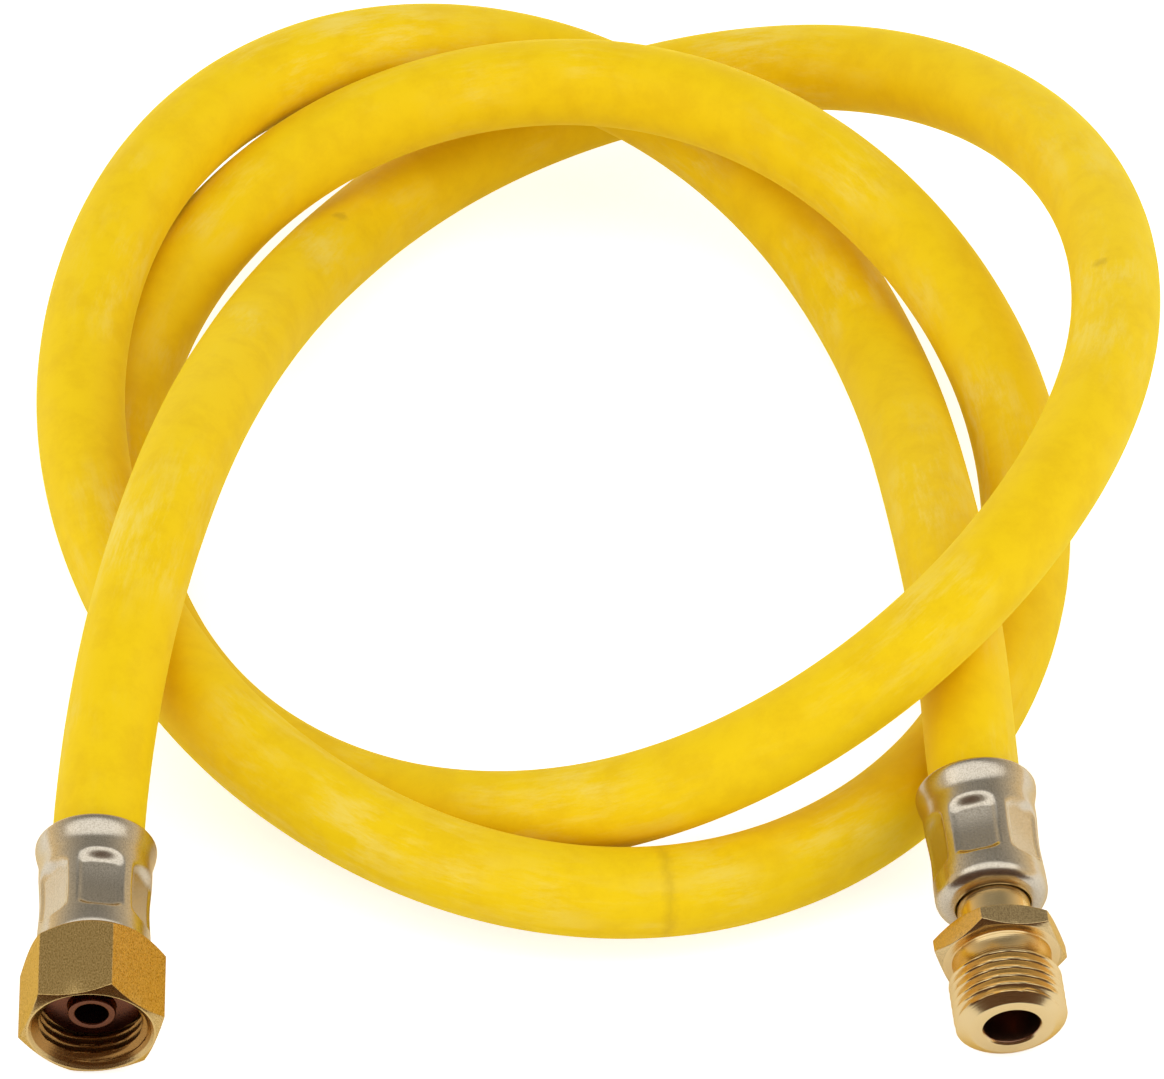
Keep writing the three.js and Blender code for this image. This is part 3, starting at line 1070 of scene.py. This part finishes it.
@dataclass
class MaleFitting:
    """The turned male fitting: stem, neck, hexagon, groove, thread, end chamfer and bore."""

    stem: BarbedStem = field(default_factory=BarbedStem)
    thread: PipeThread = field(default_factory=PipeThread)
    turn: float = 11.0
    hex_rim: float = 0.52
    hex_rear: float = 8.9
    hex_thickness: float = 4.6
    chamfer: float = 60.0
    face_step: float = 0.2  # how far inside the flats the hexagon's faces start
    fillet: float = 0.35
    groove_depth: float = 0.2
    groove_length: float = 4.6
    thread_length: float = 9.2
    lead: float = 0.3  # how far into the groove the thread's blank reaches
    run_in: float = 0.2
    edge: float = 0.03
    end_length: float = 1.6
    end_depth: float = 1.5
    tip_break: tuple[tuple[float, float], ...] = ((0.02, 0.02), (-0.06, 0.0), (-0.3, 0.0))  # outwards and back
    countersink: tuple[tuple[float, float], ...] = ((0.7, 0.0), (0.45, 0.03), (0.08, 0.4), (0.0, 0.6), (0.0, 3.0))
    neck_wall: float = 1.7
    bore_depth: float = 16.0

    def outline(self, angle: float) -> np.ndarray:
        """Gives the fitting's section at an angle.

        Args:
            angle: Degrees round the axis from the middle of a flat.

        Returns:
            Rows of radius and height, closed.
        """
        flat = self.thread.top + self.hex_rim
        hex_front = self.hex_rear + self.hex_thickness
        groove_end = hex_front + self.groove_length
        thread_end = groove_end + self.thread_length
        face = thread_end + self.end_length
        groove = self.thread.root - self.groove_depth
        bore = self.stem.neck - self.neck_wall
        rim = flat - self.face_step
        outside = HexBar(flat).band(angle, (rim, self.hex_rear), self.chamfer, (rim, hex_front), self.chamfer)
        heights = self.thread.heights(groove_end - self.lead, face)
        run_in, run_out = groove_end - self.run_in, face + self.thread.pitch
        walls = self.thread.radii(heights, angle, ThreadSide.OUTSIDE, run_in, run_out)
        tip = self.thread.root - self.end_depth
        cone = tip + (face - heights) * (self.thread.top - tip) / self.end_length
        threaded = np.column_stack((soft_least(walls, cone, self.edge), heights))
        fillet, neck = self.fillet, self.stem.neck
        return np.vstack(
            (
                self.stem.outline(),
                [(neck, self.hex_rear - fillet), (neck + fillet, self.hex_rear)],
                outside,
                [(groove + fillet, hex_front), (groove + fillet * 0.3, hex_front + fillet * 0.3)],
                [(groove, hex_front + fillet), (groove, groove_end - 2 * self.lead)],
                threaded[:-1],
                [(tip + out, face - back) for out, back in self.tip_break],
                [(bore + out, face - back) for out, back in self.countersink],
                [(bore, face - self.bore_depth)],
                [(self.stem.bore, face - self.bore_depth - (bore - self.stem.bore))],
            )
        )

    def build(self) -> Object:
        """Builds the fitting and returns it."""
        mesh = revolve("turned_male_fitting", HoseEnd.MALE, self.turn, HexBar.angles(), self.outline, sharp=38)
        return link_mesh("turned_male_fitting", mesh, FITTING_BRASS, Body.ASSEMBLY, "male_end_fitting")


@dataclass
class Studio:
    """The camera, the pale floor, the dark card and the soft lights."""

    look_at_mm: tuple[float, float, float] = (7.0, 138.0, 0.0)
    distance_mm: float = 2600.0
    elevation: float = 37.0
    focal_px: float = 13492.0
    sensor_mm: float = 36.0
    floor_colour: str = "#fafaf9"
    floor_reach: float = 6.0  # metres from its middle to its edges
    floor_lift: float = 0.57  # glow that turns the lit paper white for the camera
    floor_lift_mirrored: float = 0.16
    wall_light: float = 1.64  # of the tent round the hose, low down
    wall_top: float = 0.9
    wall_mirrored: float = 0.7  # share of the walls' light that the metal shows
    ceiling_light: float = 0.33
    wall_glow: str = "#f6d79c"  # the tent's walls in reflections, warm from the hose
    ceiling_glow: str = "#fffaf0"
    card_colour: str = "#5f4330"  # a folded card in front, which only the metal shows
    card_near_mm: float = 48.0
    card_fold_mm: float = 135.0
    card_size_mm: tuple[float, float] = (700.0, 190.0)
    card_lift_mm: float = 0.2
    lamp_place: tuple[float, float, float] = (0.0, -0.3, 1.5)  # metres
    lamp_size: tuple[float, float] = (4.2, 1.2)
    lamp_watts: float = 15.5

    def camera(self) -> None:
        """Builds the camera at the photograph's viewing angle."""
        data = bpy.data.cameras.new("camera")
        data.sensor_width = self.sensor_mm
        data.lens = self.focal_px / PHOTO_WIDTH_PX * self.sensor_mm
        data.clip_start, data.clip_end = 0.1, 50
        made = put("camera", data)
        tilt = math.radians(self.elevation)
        away = Vector((0, -math.cos(tilt), math.sin(tilt))) * self.distance_mm
        made.location = (Vector(self.look_at_mm) + away) * MM
        made.rotation_euler = (math.pi / 2 - tilt, 0, 0)
        bpy.context.scene.camera = made

    @staticmethod
    def sheet(name: str, shader_of: Callable[[Adder], NodeSocket], corners: list, faces: list) -> Object:
        """Lays a sheet of the studio, which isn't part of the hose.

        Args:
            name: Its name, which its material also has.
            shader_of: Adds its shader to its material's tree and returns the shader.
            corners: Its corners, in metres.
            faces: Its faces, as numbers of corners.

        Returns:
            The sheet's object.
        """
        finish = bpy.data.materials.new(name)
        add = adder(finish)
        add("OutputMaterial", {"Surface": shader_of(add)})
        mesh = bpy.data.meshes.new(name)
        mesh.from_pydata(corners, [], faces)
        mesh.materials.append(finish)
        made = put(name, mesh)
        return made

    def paper(self, add: Adder) -> NodeSocket:
        """Adds the floor's paper, lifted to white for what the camera sees, directly or in a reflection.

        Args:
            add: Adds a node to the floor's tree.

        Returns:
            The shader's output.
        """
        ray = add("LightPath").node.outputs
        paper = add("BsdfDiffuse", {"Color": linear(self.floor_colour), "Roughness": 1.0})
        strength = add("Mix", {0: ray["Is Camera Ray"], 2: self.floor_lift_mirrored, 3: self.floor_lift})
        lit = add("AddShader", {0: paper, 1: add("Emission", {"Color": WHITE, "Strength": strength})})
        seen: Any = ray["Is Camera Ray"]
        for other in ("Is Glossy Ray", "Is Transmission Ray"):
            seen = add("Math", {0: seen, 1: ray[other]}, operation="MAXIMUM")
        return add("MixShader", {0: seen, 1: paper, 2: lit})

    def card(self, add: Adder) -> NodeSocket:
        """Adds the card's dull shader and returns its output."""
        return add("BsdfDiffuse", {"Color": linear(self.card_colour), "Roughness": 1.0})

    def world(self) -> None:
        """Sets a pale tent round the hose, bright at the walls and dimmer overhead, and white to the camera."""
        world = bpy.data.worlds.new("studio")
        add = adder(world)
        upward = add("SeparateXYZ", {0: add("TexCoord", output="Generated")}, "Z")
        ray = add("LightPath").node.outputs
        tent = add(
            "MapRange",
            {"Value": upward, "From Max": self.wall_top, "To Min": self.wall_light, "To Max": self.ceiling_light},
        )
        mirrored = add("Mix", {0: ray["Is Glossy Ray"], 2: 1.0, 3: self.wall_mirrored})
        shown = add("Math", {0: tent, 1: mirrored}, operation="MULTIPLY")
        strength = add("Mix", {0: ray["Is Camera Ray"], 2: shown, 3: 1.0})
        glow = {0: upward, 6: linear(self.wall_glow), 7: linear(self.ceiling_glow)}
        tint = {0: ray["Is Glossy Ray"], 6: WHITE, 7: add("Mix", glow, 2, data_type="RGBA")}
        colour = add("Mix", tint, 2, data_type="RGBA")
        add("OutputWorld", {"Surface": add("Background", {"Color": colour, "Strength": strength})})
        bpy.context.scene.world = world

    def lamp(self) -> None:
        """Hangs the soft overhead lamp, pointed at the hose."""
        data = bpy.data.lights.new("overhead", "AREA")
        data.shape = "RECTANGLE"
        data.size, data.size_y = self.lamp_size
        data.energy = self.lamp_watts
        made = put("overhead", data)
        made.location = self.lamp_place
        aim = Vector(self.look_at_mm) * MM - Vector(self.lamp_place)
        made.rotation_euler = aim.to_track_quat("-Z", "Y").to_euler()

    def build(self) -> None:
        """Builds the camera, the floor, the card that only the metal shows, and the lights."""
        self.camera()
        reach = self.floor_reach
        square = [(-reach, -reach, 0), (reach, -reach, 0), (reach, reach, 0), (-reach, reach, 0)]
        self.sheet("Paper floor, white", self.paper, square, [(0, 1, 2, 3)])
        half, tall = self.card_size_mm[0] / 2 * MM, self.card_size_mm[1] * MM
        near, fold, lift = -self.card_near_mm * MM, -self.card_fold_mm * MM, self.card_lift_mm * MM
        folded = [(side, *place) for place in ((near, lift), (fold, lift), (fold, tall)) for side in (-half, half)]
        card = self.sheet("Card, dark", self.card, folded, [(0, 2, 3, 1), (2, 4, 5, 3)])
        card.visible_camera = card.visible_diffuse = card.visible_shadow = False
        card.visible_transmission = card.visible_volume_scatter = False
        self.world()
        self.lamp()
        bpy.context.scene.view_settings.view_transform = "Standard"


def main() -> None:
    """Builds the studio, the hose and both fittings, in that order."""
    logging.basicConfig(level=logging.INFO, format="%(message)s")
    Studio().build()
    rubber = RubberHose()
    hose = rubber.build()
    parts = (Ferrule(HoseEnd.NUT, 8.5), Ferrule(HoseEnd.MALE, -14.0, back=3.0), NutTail(), SwivelNut(), MaleFitting())
    built = [part.build() for part in parts]
    rubber.declare(hose, [made for made in built if "male" in made.name])
    for made in (hose, *built):
        log.info("%s: %d faces", made.name, len(made.data.polygons))


if __name__ == "__main__":
    main()
